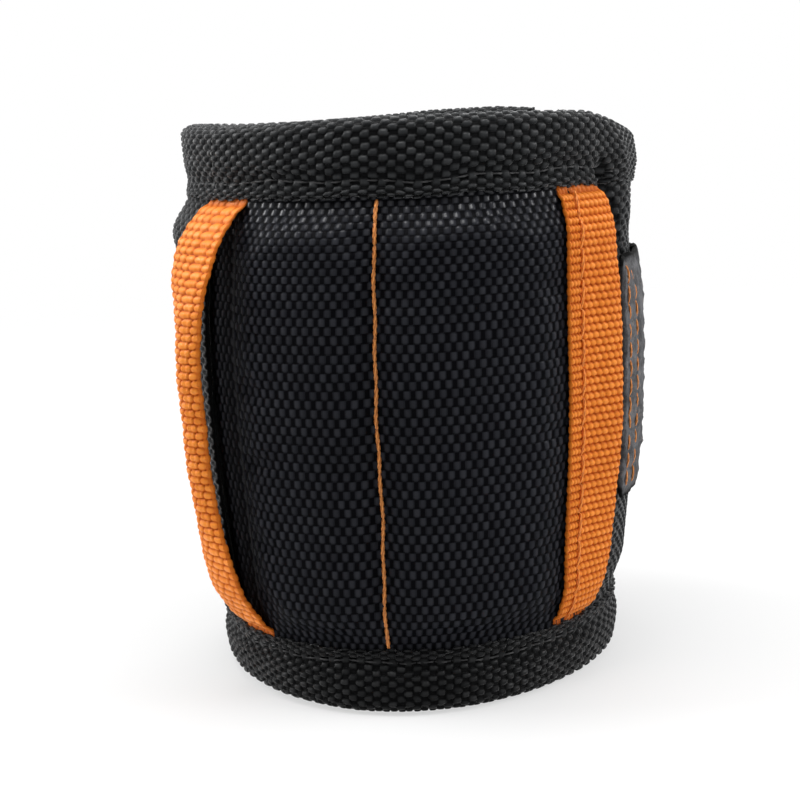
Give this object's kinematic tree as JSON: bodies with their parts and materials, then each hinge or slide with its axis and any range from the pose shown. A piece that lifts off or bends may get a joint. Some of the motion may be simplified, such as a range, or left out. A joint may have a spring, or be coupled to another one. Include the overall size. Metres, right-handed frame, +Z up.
{
  "type": "magnetic wristband",
  "caption": "Padded woven wristband with magnets sewn into its fields, webbing loops at the sides of the front and a hook-and-loop strap behind.",
  "frame": {"origin": "on the surface the band stands on, under the middle of the closed band's box", "axes": "+Z up along the cuff, -Y out of the stitched front, +X to the side of the strap's sewn end"},
  "size_m": [0.0772, 0.08, 0.09],
  "materials": {
    "panel_cloth": "woven, slight sheen",
    "binding_weave": "coarse plain weave, matt",
    "lining_mesh": "fine air mesh, matt",
    "foam": "open foam, matt",
    "orange_webbing": "ribbed webbing, low sheen",
    "orange_thread": "sewing thread",
    "brushed_cloth": "brushed, fuzzy",
    "loop_cloth": "hook and loop, matt",
    "nickel": "nickel plate"
  },
  "bodies": {
    "front": {"front_panel": "panel_cloth", "front_lining": "lining_mesh", "front_foam": "foam", "magnet_01": "nickel", "magnet_02": "nickel", "magnet_03": "nickel", "magnet_04": "nickel", "magnet_05": "nickel", "magnet_06": "nickel", "magnet_07": "nickel", "magnet_08": "nickel", "magnet_09": "nickel", "magnet_10": "nickel", "front_top_binding": "binding_weave", "front_bottom_binding": "binding_weave", "centre_stitch": "orange_thread", "left_webbing_loop": "orange_webbing", "right_webbing_loop": "orange_webbing", "right_webbing_stitch": "orange_thread"},
    "left_wing": {"left_wing_panel": "binding_weave", "left_wing_lining": "lining_mesh", "left_wing_foam": "foam", "magnet_11": "nickel", "magnet_12": "nickel", "magnet_13": "nickel", "magnet_14": "nickel", "magnet_15": "nickel", "left_wing_top_binding": "binding_weave", "left_wing_bottom_binding": "binding_weave", "left_wing_end_binding": "binding_weave", "loop_field": "loop_cloth"},
    "right_wing": {"right_wing_panel": "binding_weave", "right_wing_lining": "lining_mesh", "right_wing_foam": "foam", "right_wing_top_binding": "binding_weave", "right_wing_bottom_binding": "binding_weave", "right_wing_end_binding": "binding_weave", "strap_base": "brushed_cloth", "strap_stitch_1": "orange_thread", "strap_stitch_2": "orange_thread", "strap_stitch_3": "orange_thread"},
    "strap": {"strap": "brushed_cloth", "hook_patch": "loop_cloth"}
  },
  "joints": [
    {"name": "right_wing_flex", "type": "hinge", "parent": "front", "child": "right_wing", "pos_m": [0.03435, -0.01706, 0], "axis": [0, 0, -1], "range_deg": [0, 70]},
    {"name": "left_wing_flex", "type": "hinge", "parent": "front", "child": "left_wing", "pos_m": [-0.03229, -0.02313, 0], "axis": [0, 0, 1], "range_deg": [0, 24.5]},
    {"name": "strap_peel", "type": "hinge", "parent": "right_wing", "child": "strap", "pos_m": [0.03667, 0.01042, 0], "axis": [0, 0, -1], "range_deg": [0, 110]}
  ],
  "couplings": [
    {"joint": "left_wing_flex", "follows": "right_wing_flex", "ratio": 0.35}
  ]
}
